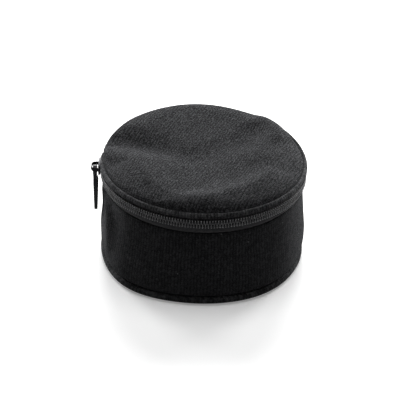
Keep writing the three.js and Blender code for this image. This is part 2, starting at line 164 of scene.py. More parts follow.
def noise_value(tree, vector, scale, detail=2.0, roughness=0.5):
    """A noise from 0 to 1, with its scale in grains per metre."""
    made = add_node(tree, "TexNoise")
    made.inputs["Scale"].default_value = scale
    made.inputs["Detail"].default_value = detail
    made.inputs["Roughness"].default_value = roughness
    tree.links.new(vector, made.inputs["Vector"])
    return made.outputs["Fac"]


def centred(tree, value, gain):
    """Spreads a noise about its middle, so that it has more contrast."""
    away = calculate(tree, "SUBTRACT", value, 0.5)
    return calculate(tree, "MULTIPLY_ADD", away, gain, 0.5, clamp=True)


def wave(tree, turns):
    """A wave between 0 and 1, with its crests at whole turns."""
    swing = calculate(tree, "COSINE", calculate(tree, "MULTIPLY", turns, 2 * math.pi))
    return calculate(tree, "MULTIPLY_ADD", swing, 0.5, 0.5)


def cells_of(tree, vector, scale):
    """A Voronoi node of round cells, with its scale in cells per metre."""
    made = add_node(tree, "TexVoronoi", feature="F1")
    made.inputs["Scale"].default_value = scale
    tree.links.new(vector, made.inputs["Vector"])
    return made


def mixed(tree, share, dark, light):
    """A colour that goes from dark to light, and past it where the share is over 1."""
    made = add_node(tree, "Mix", data_type="RGBA", clamp_factor=False)
    tree.links.new(share, made.inputs["Factor"])
    tree.links.new(dark, made.inputs["A"])
    tree.links.new(light, made.inputs["B"])
    return made.outputs["Result"]


WALE = 1.38
COURSE = 1.0
KNIT_WAVER = 0.9
STITCH_SLANT = 1.3
LINT_RARITY = 0.95
LINT_SIZE = 0.13
LINT_SHINE = 1.6


def jersey_group():
    """The knit's look: wales of V stitches, a felt of loose fibres over them, and a little lint."""
    group, given, result = new_group(
        "jersey_knit",
        [("Cloth", "Vector"), ("Place", "Vector"), ("Wale", "Float", WALE), ("Course", "Float", COURSE),
         ("Ribs", "Float", 1.0), ("Grain", "Float", 1.0), ("Dark", "Color"), ("Light", "Color")],
        [("Color", "Color"), ("Height", "Float"), ("Roughness", "Float")])
    split = add_node(group, "SeparateXYZ")
    group.links.new(given["Cloth"], split.inputs[0])
    waver = noise_value(group, given["Place"], scale=420.0)
    shift = calculate(group, "MULTIPLY", calculate(group, "SUBTRACT", waver, 0.5), KNIT_WAVER)
    ways = []
    for axis, pitch in enumerate((given["Wale"], given["Course"])):
        way = calculate(group, "MULTIPLY", split.outputs[axis], 1 / MM)
        way = calculate(group, "DIVIDE", way, pitch)
        ways.append(calculate(group, "ADD", way, shift))
    across, along = ways

    aside = calculate(group, "SUBTRACT", calculate(group, "FRACT", across), 0.5)
    aside = calculate(group, "ABSOLUTE", aside)
    slant = calculate(group, "MULTIPLY_ADD", aside, STITCH_SLANT, along)
    stitch = calculate(group, "MULTIPLY_ADD", wave(group, slant), 0.6, 0.4)
    knit = calculate(group, "MULTIPLY", wave(group, aside), stitch)
    knit = calculate(group, "MULTIPLY", knit, given["Ribs"])
    loop = add_node(group, "CombineXYZ")
    group.links.new(calculate(group, "FLOOR", across), loop.inputs[0])
    group.links.new(calculate(group, "FLOOR", slant), loop.inputs[1])
    loop_tone = add_node(group, "TexWhiteNoise", noise_dimensions="3D")
    group.links.new(loop.outputs[0], loop_tone.inputs["Vector"])

    fuzz = noise_value(group, given["Place"], scale=1750.0, detail=3.0, roughness=0.75)
    fuzz = calculate(group, "SUBTRACT", centred(group, fuzz, gain=4.8), 0.5)
    fuzz = calculate(group, "MULTIPLY_ADD", fuzz, given["Grain"], 0.5)
    fine = noise_value(group, given["Place"], scale=2900.0, roughness=0.6)
    fine = centred(group, fine, gain=2.2)
    height = calculate(group, "MULTIPLY_ADD", fuzz, 0.8, calculate(group, "MULTIPLY", knit, 0.6))
    height = calculate(group, "MULTIPLY_ADD", fine, 0.25, height)
    group.links.new(height, result["Height"])

    specks = cells_of(group, given["Place"], scale=420.0)
    tone = add_node(group, "SeparateColor")
    group.links.new(specks.outputs["Color"], tone.inputs[0])
    rare = calculate(group, "GREATER_THAN", tone.outputs[0], LINT_RARITY)
    small = calculate(group, "LESS_THAN", specks.outputs["Distance"], LINT_SIZE)
    lint = calculate(group, "MULTIPLY", rare, small)
    mottle = noise_value(group, given["Place"], scale=110.0, detail=3.0)
    mottle = centred(group, mottle, gain=1.6)
    loop_share = calculate(group, "MULTIPLY_ADD", loop_tone.outputs["Value"], 0.5, 0.5)
    shade = calculate(group, "MULTIPLY", fuzz, loop_share)
    shade = calculate(group, "MULTIPLY_ADD", knit, 0.55, shade)
    shade = calculate(group, "MULTIPLY_ADD", mottle, 0.08, shade)
    shade = calculate(group, "SUBTRACT", shade, 0.3, clamp=True)
    shade = calculate(group, "MULTIPLY_ADD", lint, LINT_SHINE, shade)
    group.links.new(mixed(group, shade, given["Dark"], given["Light"]), result["Color"])
    group.links.new(calculate(group, "MULTIPLY_ADD", fine, -0.15, 0.9), result["Roughness"])
    return group


JERSEY = jersey_group()
KNIT_DARK = (0.004, 0.0041, 0.0046, 1)
KNIT_LIGHT = (0.08, 0.081, 0.085, 1)
# A paler tone of the same knit for the base rim and the lid band: painted light that lifts these parts
# out of their shade.
KNIT_PAINTED_LIGHT = (0.17, 0.171, 0.176, 1)
KNIT_DEPTH = 0.35 * MM


def new_material(name):
    """A new material, with its node tree and its Principled shader."""
    material = bpy.data.materials.new(name)
    material.use_nodes = True
    return material, material.node_tree, material.node_tree.nodes["Principled BSDF"]


def bump(tree, height, shader, distance):
    """Stands a height between 0 and 1 out of the surface, by a distance in metres."""
    made = add_node(tree, "Bump")
    made.inputs["Strength"].default_value = 1.0
    made.inputs["Distance"].default_value = distance
    tree.links.new(height, made.inputs["Height"])
    tree.links.new(made.outputs[0], shader.inputs["Normal"])


def cloth_material(name, pattern, depth, **values):
    """A material with a cloth's node group on the piece's own map, and the group's values."""
    material, tree, shader = new_material(name)
    cloth = add_node(tree, "UVMap", uv_map="cloth")
    place = add_node(tree, "TexCoord")
    made = add_node(tree, "Group", node_tree=pattern)
    tree.links.new(cloth.outputs["UV"], made.inputs["Cloth"])
    tree.links.new(place.outputs["Object"], made.inputs["Place"])
    for socket, value in values.items():
        made.inputs[socket].default_value = value
    tree.links.new(made.outputs["Color"], shader.inputs["Base Color"])
    tree.links.new(made.outputs["Roughness"], shader.inputs["Roughness"])
    bump(tree, made.outputs["Height"], shader, depth)
    return material, shader


def knit_material(name, ribs, grain, wale=WALE, light=KNIT_LIGHT):
    """Black jersey: how strong its ribs and its grain are, its wale's pitch and its pale tone."""
    material, shader = cloth_material(name, JERSEY, KNIT_DEPTH, Wale=wale, Ribs=ribs, Grain=grain,
                                      Dark=KNIT_DARK, Light=light)
    shader.inputs["Specular IOR Level"].default_value = 0.04
    shader.inputs["Sheen Weight"].default_value = 0.07
    shader.inputs["Sheen Roughness"].default_value = 0.4
    shader.inputs["Sheen Tint"].default_value = (0.55, 0.56, 0.6, 1)
    return material


def turn_from(point, azimuth):
    """How far round the pouch a point lies from an azimuth, from -180 to 180 degrees."""
    return (math.degrees(math.atan2(point.y, point.x)) - azimuth + 180) % 360 - 180


def push_out(piece, azimuth, height, width, tall, amount, fade=None):
    """Presses a soft rise or, with a minus, a dent into a round piece; degrees and mm."""
    for vertex in piece.data.vertices:
        point = vertex.co
        turn = turn_from(point, azimuth)
        share = math.exp(-((turn / width) ** 2) - ((point.z / MM - height) / tall) ** 2)
        outward = Vector((point.x, point.y, 0))
        share *= min(1.0, outward.length / (SIDE_FROM * MM)) ** SIDE_STEEPNESS
        if fade:
            share *= fade(point)
        vertex.co += outward.normalized() * (amount * MM * share)


base_cover = rings("base_cover", BASE_OUTLINE)
finish_cloth(base_cover, KNIT_THICKNESS)
for bulge in LOW_BULGES:
    push_out(base_cover, *bulge)
plan_uv(base_cover, BASE_TURN)
# The rim's knit is paler than the wall's: painted light.
base_knit = knit_material("base_knit", ribs=0.3, grain=0.3, light=KNIT_PAINTED_LIGHT)
base_cover.data.materials.append(base_knit)
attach(base_cover, "root")
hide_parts("base_panel")

# Card: the grey board that keeps the bottom flat. It lies between the base cover and the lining
# and isn't seen; the CAD solid stays, with pressed fibres in its finish.
BOARD_DARK = (0.035, 0.035, 0.036, 1)
BOARD_LIGHT = (0.1, 0.1, 0.098, 1)


def shaded(tree, shader, value, dark, light):
    """Colours a material from dark to light by a value that changes over its surface."""
    ramp = add_node(tree, "ValToRGB")
    ramp.color_ramp.elements[0].color = dark
    ramp.color_ramp.elements[1].color = light
    tree.links.new(value, ramp.inputs[0])
    tree.links.new(ramp.outputs[0], shader.inputs["Base Color"])


board_material, tree, shader = new_material("grey_board")
place = add_node(tree, "TexCoord").outputs["Object"]
fibres = noise_value(tree, place, scale=900.0, detail=4.0, roughness=0.6)
shaded(tree, shader, fibres, BOARD_DARK, BOARD_LIGHT)
shader.inputs["Roughness"].default_value = 0.85
bump(tree, fibres, shader, 0.1 * MM)
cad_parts["base_board"].data.materials.clear()
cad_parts["base_board"].data.materials.append(board_material)

# Wall cover: one strip of the same knit round the side, over foam. It is sewn to the base's rim
# below and turned in under the zip tape above, and it bellies out a little between the two.
WALL_OUTLINE = [(44.1, 3.95), (44.6, 4.3), (45.35, 4.5), (46.0, 5.2), (46.35, 7.0), (46.5, 10.0),
                (46.45, 14.0), (46.1, 18.5), (45.55, 23.0), (45.1, 27.5), (44.85, 31.5), (44.7, 34.2),
                (44.5, 35.6), (44.15, 36.15), (43.8, 36.1), (43.6, 35.5)]
WALL_FOLDS = [(128, 33, 8, 6, 0.8), (144.5, 34, 4, 5, 0.9), (147, 28.5, 4, 5, 1.0),
              (150, 22.4, 4, 5, 1.0), (152.5, 15.5, 4, 5, 0.7), (159, 25, 5, 9, -0.5),
              (136, 22, 4, 10, -0.4), (262, 33, 9, 6, -0.25), (196, 34, 8, 5, -0.2),
              (300, 18, 8, 10, 0.25)]
# Each unevenness is its size and amount in mm, and a seed that tells it from the other.
WALL_UNEVENNESS = [(16, 0.35, 3), (7, 0.1, 8)]
WALL_RADIUS = 45.2
LOW_SEAM = 5
LOW_SEAM_FADE = 4
HIGH_SEAM = 35.5
HIGH_SEAM_FADE = 3


def stir(piece, size, amount, seed, keep):
    """Moves a cloth in and out by a smooth noise; keep gives each point its share of it."""
    offset = Vector((seed * 1.7, seed * 3.1, seed * 0.9))
    facing = [vertex.normal.copy() for vertex in piece.data.vertices]
    for vertex, outward in zip(piece.data.vertices, facing):
        rise = noise.noise(vertex.co / (size * MM) + offset)
        vertex.co += outward * (rise * amount * keep(vertex.co) * MM)


def wrap_uv(piece, radius):
    """Lays the cloth's own map round the piece: the way along the ring and up it, in metres."""
    layer = piece.data.uv_layers.new(name="cloth")
    for face in piece.data.polygons:
        points = [piece.data.vertices[index].co for index in face.vertices]
        middle = sum(points, Vector()) / len(points)
        facing = math.atan2(middle.y, middle.x)
        for loop, point in zip(face.loop_indices, points):
            turn = (math.atan2(point.y, point.x) - facing + math.pi) % (2 * math.pi) - math.pi
            layer.data[loop].uv = ((facing + turn) * radius * MM, point.z)


def whole_wales(radius):
    """The wale pitch in mm that goes round a ring a whole number of times."""
    girth = 2 * math.pi * radius
    return girth / round(girth / WALE)


def clamped(value):
    """The value, held between 0 and 1."""
    return max(0.0, min(1.0, value))


def seam_fade(point):
    """1 on the open wall, and less towards the seams that hold its edges."""
    height = point.z / MM
    low_share = (height - LOW_SEAM) / LOW_SEAM_FADE
    high_share = (HIGH_SEAM - height) / HIGH_SEAM_FADE
    return clamped(min(low_share, high_share))


wall_cover = rings("wall_cover", WALL_OUTLINE)
finish_cloth(wall_cover, KNIT_THICKNESS)
for size, amount, seed in WALL_UNEVENNESS:
    stir(wall_cover, size, amount, seed, seam_fade)
for fold in WALL_FOLDS:
    push_out(wall_cover, *fold, fade=seam_fade)
for bulge in LOW_BULGES:
    push_out(wall_cover, *bulge)
wrap_uv(wall_cover, WALL_RADIUS)
wall_knit = knit_material("wall_knit", ribs=0.5, grain=0.45, wale=whole_wales(WALL_RADIUS))
wall_cover.data.materials.append(wall_knit)
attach(wall_cover, "root")
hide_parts("wall_panel")

# Foam, linings and bindings: a ring of foam stands inside the wall and a disc under the lid, each
# faced with thin woven nylon. Tapes folded over the raw edges hold the layers together.
INNER_SIDES = 96
LINING_THICKNESS = 0.5
BINDING_THICKNESS = 0.4
WALL_FOAM_THICKNESS = 2.6
WEAVE_DEPTH = 0.12 * MM
FOAM_DARK = (0.02, 0.02, 0.022, 1)
FOAM_LIGHT = (0.075, 0.076, 0.08, 1)


def weave_group():
    """A plain weave of fine threads, seen as a grid of small pillows."""
    group, given, result = new_group(
        "plain_weave",
        [("Cloth", "Vector"), ("Place", "Vector"), ("Pitch", "Float", 0.35), ("Slant", "Float", 0.0),
         ("Dark", "Color"), ("Light", "Color")],
        [("Color", "Color"), ("Height", "Float"), ("Roughness", "Float")])
    split = add_node(group, "SeparateXYZ")
    group.links.new(given["Cloth"], split.inputs[0])
    along = calculate(group, "MULTIPLY", split.outputs[0], 1 / MM)
    up = calculate(group, "MULTIPLY", split.outputs[1], 1 / MM)
    along = calculate(group, "MULTIPLY_ADD", up, given["Slant"], along)
    threads = []
    for way in (along, up):
        turns = calculate(group, "DIVIDE", way, given["Pitch"])
        angle = calculate(group, "MULTIPLY", turns, 2 * math.pi)
        threads.append(calculate(group, "SINE", angle))
    weave = calculate(group, "MULTIPLY_ADD", calculate(group, "MULTIPLY", *threads), 0.5, 0.5)
    fibre = noise_value(group, given["Place"], scale=1200.0, detail=3.0, roughness=0.6)
    group.links.new(calculate(group, "MULTIPLY_ADD", fibre, 0.4, weave), result["Height"])
    worn = noise_value(group, given["Place"], scale=60.0)
    shade = calculate(group, "MULTIPLY_ADD", weave, 0.5, calculate(group, "MULTIPLY", fibre, 0.6))
    shade = calculate(group, "MULTIPLY_ADD", worn, 0.3, shade)
    shade = calculate(group, "SUBTRACT", shade, 0.25, clamp=True)
    group.links.new(mixed(group, shade, given["Dark"], given["Light"]), result["Color"])
    group.links.new(calculate(group, "MULTIPLY_ADD", fibre, 0.2, 0.5), result["Roughness"])
    return group


WEAVE = weave_group()


def woven_material(name, pitch, slant, dark, light, sheen=0.1, gloss=0.35):
    """A woven cloth: its thread pitch in mm, its slant, its two tones and how it shines."""
    material, shader = cloth_material(name, WEAVE, WEAVE_DEPTH, Pitch=pitch, Slant=slant,
                                      Dark=dark, Light=light)
    shader.inputs["Specular IOR Level"].default_value = gloss
    shader.inputs["Sheen Weight"].default_value = sheen
    return material


foam_material, tree, shader = new_material("grey_foam")
place = add_node(tree, "TexCoord").outputs["Object"]
pores = cells_of(tree, place, scale=1300.0).outputs["Distance"]
shaded(tree, shader, pores, FOAM_DARK, FOAM_LIGHT)
shader.inputs["Roughness"].default_value = 0.95
bump(tree, pores, shader, 0.3 * MM)

lining_material = woven_material("lining_nylon", pitch=0.3, slant=0.0,
                                 dark=(0.012, 0.012, 0.014, 1), light=(0.05, 0.051, 0.056, 1))
binding_material = woven_material("binding_tape", pitch=0.5, slant=1.0,
                                  dark=(0.008, 0.008, 0.009, 1), light=(0.045, 0.045, 0.05, 1))


def inner_layer(name, outline, thickness, node, material, body="root", flat=False):
    """A hidden ring or disc that takes the place of its CAD solid."""
    piece = rings(name, outline, INNER_SIDES)
    finish_cloth(piece, thickness)
    if flat:
        plan_uv(piece, 0)
    else:
        wrap_uv(piece, outline[0][0])
    piece.data.materials.append(material)
    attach(piece, body)
    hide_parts(node)
    return piece


wall_foam = inner_layer("wall_foam_ring",
                        [(43.35, 3.0), (43.6, 4.2), (44.4, 9.5), (44.6, 14.5), (44.4, 20.0),
                         (43.9, 27.5), (43.45, 32.5), (43.3, 34.4)],
                        WALL_FOAM_THICKNESS, "wall_foam", foam_material)
inner_layer("wall_lining_cloth",
            [(40.75, 2.95), (40.78, 4.0), (40.7, 12.0), (40.78, 20.0), (40.7, 28.0),
             (40.78, 33.6), (40.75, 34.45)],
            LINING_THICKNESS, "wall_lining", lining_material)
inner_layer("wall_binding_tape",
            [(42.6, 34.85), (42.3, 35.3), (41.2, 35.35), (40.3, 35.3), (39.95, 34.9),
             (39.85, 33.8), (39.88, 32.4)],
            BINDING_THICKNESS, "wall_binding", binding_material)
inner_layer("base_lining_cloth",
            [(39.85, 3.35), (39.4, 3.47), (30.0, 3.5), (18.0, 3.5), (8.0, 3.5), (0.0, 3.5)],
            LINING_THICKNESS, "base_lining", lining_material, flat=True)
inner_layer("base_binding_tape",
            [(39.85, 6.75), (39.85, 4.6), (39.6, 4.05), (38.9, 3.85), (36.95, 3.82)],
            BINDING_THICKNESS, "base_binding", binding_material)

# Lower zip tape: woven polyester tape, folded in behind the wall's top edge and standing up from
# there to carry the coil. A woven rib runs along it below the chain.
ZIP_ARC = (120, 420)
TAPE_THICKNESS = 0.4
TAPE_RADIUS = 44.65
tape_material = woven_material("zip_tape_weave", pitch=0.55, slant=1.0,
                               dark=(0.006, 0.006, 0.0065, 1), light=(0.1, 0.1, 0.105, 1),
                               sheen=0.02, gloss=0.05)


def zip_tape(name, outline, node, body):
    """A strip of the zip's tape, from one side of the hinge round the front to the other."""
    piece = rings(name, outline, SIDES, ZIP_ARC)
    finish_cloth(piece, TAPE_THICKNESS)
    wrap_uv(piece, TAPE_RADIUS)
    piece.data.materials.append(tape_material)
    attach(piece, body)
    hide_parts(node)


zip_tape("lower_tape",
         [(43.4, 34.85), (43.45, 35.6), (43.7, 36.35), (44.3, 36.85), (44.75, 37.3),
          (44.88, 37.8), (44.78, 38.4), (44.68, 39.2), (44.63, 40.1), (44.62, 40.9)],
         "lower_zip_tape", "root")

# Zip coils: each is one nylon filament wound in flat loops. The front legs stand upright, the
# back legs lean on to the next loop, and the heads of the two coils stand between each other.
TOOTH_PITCH = 1.21
TURNS = 192
COIL_START = 124.356
COIL_MIDDLE = 45.375
COIL_HALF = 0.39
COIL_WIRE = 0.2
CHAIN_LEVEL = 41.7
LOOP_POINTS = 16
LOOP_SHOULDER = 1.81
LOOP_HEAD = -0.16
# The share of a loop at which it leads on to the next, and how square its legs and heads are.
LOOP_LEAD = 0.3
LEGS_FLAT = 0.6
HEADS_FLAT = 0.55
# Between these radii the coil's colour goes from near-black deep in the chain to its own tone in front:
# painted shade.
COIL_SHADE_DEPTHS = (45.55, 45.95)
COIL_PAINTED_SHADE = (0.004, 0.004, 0.0044, 1)
COIL_LIGHT = (0.15, 0.15, 0.156, 1)


def squared(value, power):
    """A sine or cosine with its sign kept, flattened towards a square wave by a power under 1."""
    return math.copysign(abs(value) ** power, value)


def smooth(value):
    """An even climb from 0 to 1 made to start and end gently."""
    value = clamped(value)
    return value * value * (3 - 2 * value)


def ring_place(radius, azimuth, height):
    """A point in metres, from a radius and height in mm and an azimuth in radians."""
    return radius * math.cos(azimuth) * MM, radius * math.sin(azimuth) * MM, height * MM


def coil_path(side, shift):
    """Points of the filament; side is 1 for the lid's coil and -1 for the wall's."""
    middle = (LOOP_SHOULDER + LOOP_HEAD) / 2
    reach = (LOOP_SHOULDER - LOOP_HEAD) / 2
    points = []
    for step in range(TURNS * LOOP_POINTS):
        turn, phase = divmod(step, LOOP_POINTS)
        share = phase / LOOP_POINTS
        angle = 2 * math.pi * share
        out = COIL_MIDDLE + COIL_HALF * squared(math.cos(angle), LEGS_FLAT)
        up = middle - reach * squared(math.sin(angle), HEADS_FLAT)
        along = (turn + smooth((share - LOOP_LEAD) / (1 - LOOP_LEAD)) + shift) * TOOTH_PITCH
        azimuth = math.radians(COIL_START) + along / COIL_MIDDLE
        points.append(ring_place(out, azimuth, CHAIN_LEVEL + side * up))
    return points


def painted_depth_shade(tree, place, near, far):
    """Painted shade: 0 deep in the chain and 1 on what stands out of it, by the distance from the
    pouch's axis.
    """
    split = add_node(tree, "SeparateXYZ")
    tree.links.new(place, split.inputs[0])
    across = calculate(tree, "MULTIPLY", split.outputs[0], split.outputs[0])
    radius = calculate(tree, "MULTIPLY_ADD", split.outputs[1], split.outputs[1], across)
    radius = calculate(tree, "SQRT", radius)
    gap = (far - near) * MM
    return calculate(tree, "MULTIPLY_ADD", radius, 1 / gap, -near * MM / gap, clamp=True)


# Painted shade: the coil's colour fades to near-black with depth in the chain.
coil_material, tree, shader = new_material("coil_nylon")
place = add_node(tree, "TexCoord").outputs["Object"]
scuff = noise_value(tree, place, scale=700.0, detail=3.0, roughness=0.6)
polish_and_painted_shade = calculate(tree, "MULTIPLY_ADD", scuff, 0.5, 0.45)
polish_and_painted_shade = calculate(tree, "MULTIPLY", painted_depth_shade(tree, place, *COIL_SHADE_DEPTHS), polish_and_painted_shade)
shaded(tree, shader, polish_and_painted_shade, COIL_PAINTED_SHADE, COIL_LIGHT)
tree.links.new(calculate(tree, "MULTIPLY_ADD", scuff, 0.2, 0.16), shader.inputs["Roughness"])
shader.inputs["Specular IOR Level"].default_value = 0.55
bump(tree, scuff, shader, 0.03 * MM)


def wire(name, points, radius, roundness):
    """A round bar through points in metres; its radius is in mm, and roundness adds faces to it."""
    line = bpy.data.curves.new(name, "CURVE")
    line.dimensions = "3D"
    line.bevel_depth = radius * MM
    line.bevel_resolution = roundness
    line.use_fill_caps = True
    spline = line.splines.new("POLY")
    spline.points.add(len(points) - 1)
    for knot, point in zip(spline.points, points):
        knot.co = (*point, 1)
    piece = bpy.data.objects.new(name, line)
    bpy.context.scene.collection.objects.link(piece)
    only(piece)
    bpy.ops.object.convert(target="MESH")
    bpy.ops.object.shade_smooth()
    return bpy.context.object


def zip_coil(name, side, shift, node, body):
    """One of the two coils, in the place of its CAD solid."""
    piece = wire(name, coil_path(side, shift), COIL_WIRE, 1)
    piece.data.materials.append(coil_material)
    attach(piece, body)
    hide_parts(node)


zip_coil("lower_coil", -1, 0.5, "lower_zip_coil", "root")
zip_coil("upper_coil", 1, 1.0, "upper_zip_coil", "lid")

# Sewing threads: a row of stitches holds each coil to its tape. The thread stands out over each
# leg by the loop's shoulder and dips in behind between the legs.
# The thread's pale grey where it stands out is a painted highlight on each shoulder, and it fades to
# painted shade where it dips in.
THREAD_WIRE = 0.18
THREAD_LEVEL = 1.62
THREAD_SHADE_DEPTHS = (45.85, 46.3)
THREAD_PAINTED_SHADE = (0.004, 0.004, 0.0042, 1)
THREAD_PAINTED_HIGHLIGHT = (0.5, 0.5, 0.515, 1)
# How far the thread lies from the middle of the coil, through one stitch.
STITCH = (0.78, 0.45, -0.35, -0.6, -0.65, -0.6, -0.35, 0.45)
thread_material, tree, shader = new_material("sewing_thread")
place = add_node(tree, "TexCoord").outputs["Object"]
strands = noise_value(tree, place, scale=2600.0, roughness=0.6)
strands_and_painted_light = calculate(tree, "MULTIPLY_ADD", strands, 0.4, 0.7)
strands_and_painted_light = calculate(tree, "MULTIPLY", painted_depth_shade(tree, place, *THREAD_SHADE_DEPTHS), strands_and_painted_light)
shaded(tree, shader, strands_and_painted_light, THREAD_PAINTED_SHADE, THREAD_PAINTED_HIGHLIGHT)
shader.inputs["Roughness"].default_value = 0.5
bump(tree, strands, shader, 0.04 * MM)


def chain_thread(name, side, shift, carrier):
    """The thread along one coil; side and shift are the coil's."""
    points = []
    for step in range(TURNS * len(STITCH)):
        turn, phase = divmod(step, len(STITCH))
        along = (turn + phase / len(STITCH) + shift) * TOOTH_PITCH
        azimuth = math.radians(COIL_START) + along / COIL_MIDDLE
        level = CHAIN_LEVEL + side * THREAD_LEVEL
        points.append(ring_place(COIL_MIDDLE + STITCH[phase], azimuth, level))
    piece = wire(name, points, THREAD_WIRE, 0)
    piece.data.materials.append(thread_material)
    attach(piece, carrier)


chain_thread("lower_chain_thread", -1, 0.5, "root")
chain_thread("upper_chain_thread", 1, 1.0, "lid")

# Core cords: the soft flat cord that each filament is wound on. It fills the loops, and its near-black,
# dull colour, darker than the tape's, is partly painted shade in the gaps between their legs.
CORD_ARC = (124.5, 417.5)
CORD_THICKNESS = 0.3
CORD_REACHES = (0.5, 0.95, 1.4)
cord_material = woven_material("core_cord_twist", pitch=0.5, slant=1.0,
                               dark=(0.002, 0.002, 0.002, 1), light=(0.012, 0.012, 0.013, 1),
                               sheen=0.0, gloss=0.03)


def core_cord(name, side, carrier):
    """The cord inside one coil, as a strip that stands on edge; side is the coil's."""
    levels = sorted(CHAIN_LEVEL + side * reach for reach in CORD_REACHES)
    piece = rings(name, [(COIL_MIDDLE, level) for level in levels], SIDES, CORD_ARC)
    finish_cloth(piece, CORD_THICKNESS, offset=0)
    wrap_uv(piece, COIL_MIDDLE)
    piece.data.materials.append(cord_material)
    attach(piece, carrier)


core_cord("lower_core_cord", -1, "root")
core_cord("upper_core_cord", 1, "lid")

# Upper zip tape: the matching woven tape of the lid. It hangs from the lid's seam, tucked in
# behind the band, and carries the upper coil along its lower edge.
zip_tape("upper_tape",
         [(44.62, 42.5), (44.63, 43.2), (44.6, 43.85), (44.3, 44.35), (43.95, 44.8),
          (43.88, 45.4), (43.88, 45.85)],
         "upper_zip_tape", "lid")

# Lid band: a narrow knit strip, folded double round a cord's width of foam, between zip and top.
# It rises a little at the back right, where the whole edge of the lid stands up.
BAND_THICKNESS = 0.25
BAND_RADIUS = 46.2
BAND_OUTLINE = [(44.3, 45.6), (44.45, 46.35), (44.95, 46.75), (45.55, 46.65), (46.05, 46.1),
                (46.25, 45.4), (46.15, 44.8), (45.8, 44.35), (45.3, 44.2), (44.98, 44.4),
                (44.85, 45.0)]
LIFT = 1.6
LIFT_AZIMUTH = -12
LIFT_WIDTH = 26
LIFT_FROM = 43.2
LIFT_FADE = 1.2
LIFT_RADIUS = 44
LIFT_STEEPNESS = 3


def lift_back(piece):
    """Raises what lies above the chain where the lid's edge stands up at the back right."""
    for vertex in piece.data.vertices:
        point = vertex.co
        turn = turn_from(point, LIFT_AZIMUTH)
        above = clamped((point.z / MM - LIFT_FROM) / LIFT_FADE)
        out = math.hypot(point.x, point.y) / MM
        near_rim = min(1.0, out / LIFT_RADIUS) ** LIFT_STEEPNESS
        vertex.co.z += LIFT * MM * math.exp(-((turn / LIFT_WIDTH) ** 2)) * above * near_rim


lid_band = rings("lid_band_roll", BAND_OUTLINE, SIDES, ZIP_ARC)
finish_cloth(lid_band, BAND_THICKNESS)
lift_back(lid_band)
wrap_uv(lid_band, BAND_RADIUS)
# The band's knit is paler than the wall's: painted light.
band_knit = knit_material("band_knit", ribs=0.5, grain=0.45, wale=whole_wales(BAND_RADIUS),
                          light=KNIT_PAINTED_LIGHT)
lid_band.data.materials.append(band_knit)
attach(lid_band, "lid")
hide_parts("lid_band")

# Lid top: a disc of knit over foam, sewn down all round and swollen between by its padding. Its
# back stands up, its middle has sunk in a V-shaped valley, and a crest stands at its front left.
LID_RADIUS = 44.25
LID_LEVEL = 46.6
LID_TURN = 101
LID_RISE = 3.2
LID_BACK_RISE = 2.9
LID_BACK_AZIMUTH = 70
LID_BACK_FROM = 13
LID_BACK_TO = 40
# How steep the padded edge is: all round, and more towards the back and at the very front.
LID_FACE = 0.6
LID_BACK_FACE = 3.0
LID_BACK_FACE_AZIMUTH = 50
LID_FRONT_FACE = 1.5
LID_FRONT_FACE_AZIMUTH = 210
LID_FRONT_NARROWNESS = 10
LID_ROLL = 3.5
LID_SEAM_HEIGHT = 0.001
# Each fold is its rise and half width in mm, and the line in plan that it follows.
LID_FOLDS = [
    (1.8, 5.5, [(-40.5, -15), (-31.5, -23.5), (-12, -33), (2, -34.5)]),
    (0.8, 5.0, [(-40, -14.5), (-30, -23.5)]),
    (-1.5, 15.0, [(-27, -7), (-8, -17)]),
    (1.2, 7.0, [(14, -23), (23.8, -20), (35.7, -17.8)]),
    (1.5, 9.0, [(-25, 18), (-31, 5), (-32, -2)]),
    (-2.0, 8.0, [(-17.4, 39.1), (-11.2, 24.3), (-4.5, 1.2), (17.9, -5.3), (30, -6.5)]),
    (-1.2, 4.5, [(-20, 40.5), (-9, 27)]),
    (2.1, 6.5, [(39.5, -6), (38.5, -12), (33, -20)]),
]
LID_SIDE_BULGES = [(116, 49.2, 15, 3.5, 2.0), (92, 49.5, 14, 4, 1.0)]
SEWN_EDGE = 0.6
MAP_STEPS = 220


def along_azimuth(x, y, azimuth):
    """How far a place in plan lies out from the axis in the direction of an azimuth."""
    return x * math.cos(math.radians(azimuth)) + y * math.sin(math.radians(azimuth))


def distance_to(place, path):
    """The distance in mm from a place in plan to a line through the given points."""
    nearest = math.inf
    for start, end in zip(path, path[1:]):
        start, end = Vector(start), Vector(end)
        run = end - start
        share = clamped((place - start).dot(run) / run.length_squared)
        nearest = min(nearest, (start + run * share - place).length)
    return nearest


def rolled_edge(plan, face, top):
    """The lid's padded edge: a straight face up from the seam that rolls over into the top."""
    climb = face * (LID_RADIUS - plan)
    if climb < LID_SEAM_HEIGHT:
        return 0.0
    return (climb ** -LID_ROLL + top ** -LID_ROLL) ** (-1 / LID_ROLL)


def lid_height(x, y):
    """How high the lid's skin stands over its seam, in mm."""
    plan = math.hypot(x, y)
    back = along_azimuth(x, y, LID_BACK_AZIMUTH) - LID_BACK_FROM
    top = LID_RISE + LID_BACK_RISE * smooth(back / (LID_BACK_TO - LID_BACK_FROM))
    for rise, width, path in LID_FOLDS:
        top += rise * math.exp(-(distance_to(Vector((x, y)), path) / width) ** 2)
    behind = max(0.0, along_azimuth(x, y, LID_BACK_FACE_AZIMUTH) / LID_RADIUS)
    before = max(0.0, along_azimuth(x, y, LID_FRONT_FACE_AZIMUTH) / LID_RADIUS)
    face = LID_FACE + LID_BACK_FACE * behind + LID_FRONT_FACE * before ** LID_FRONT_NARROWNESS
    return rolled_edge(plan, face, top)


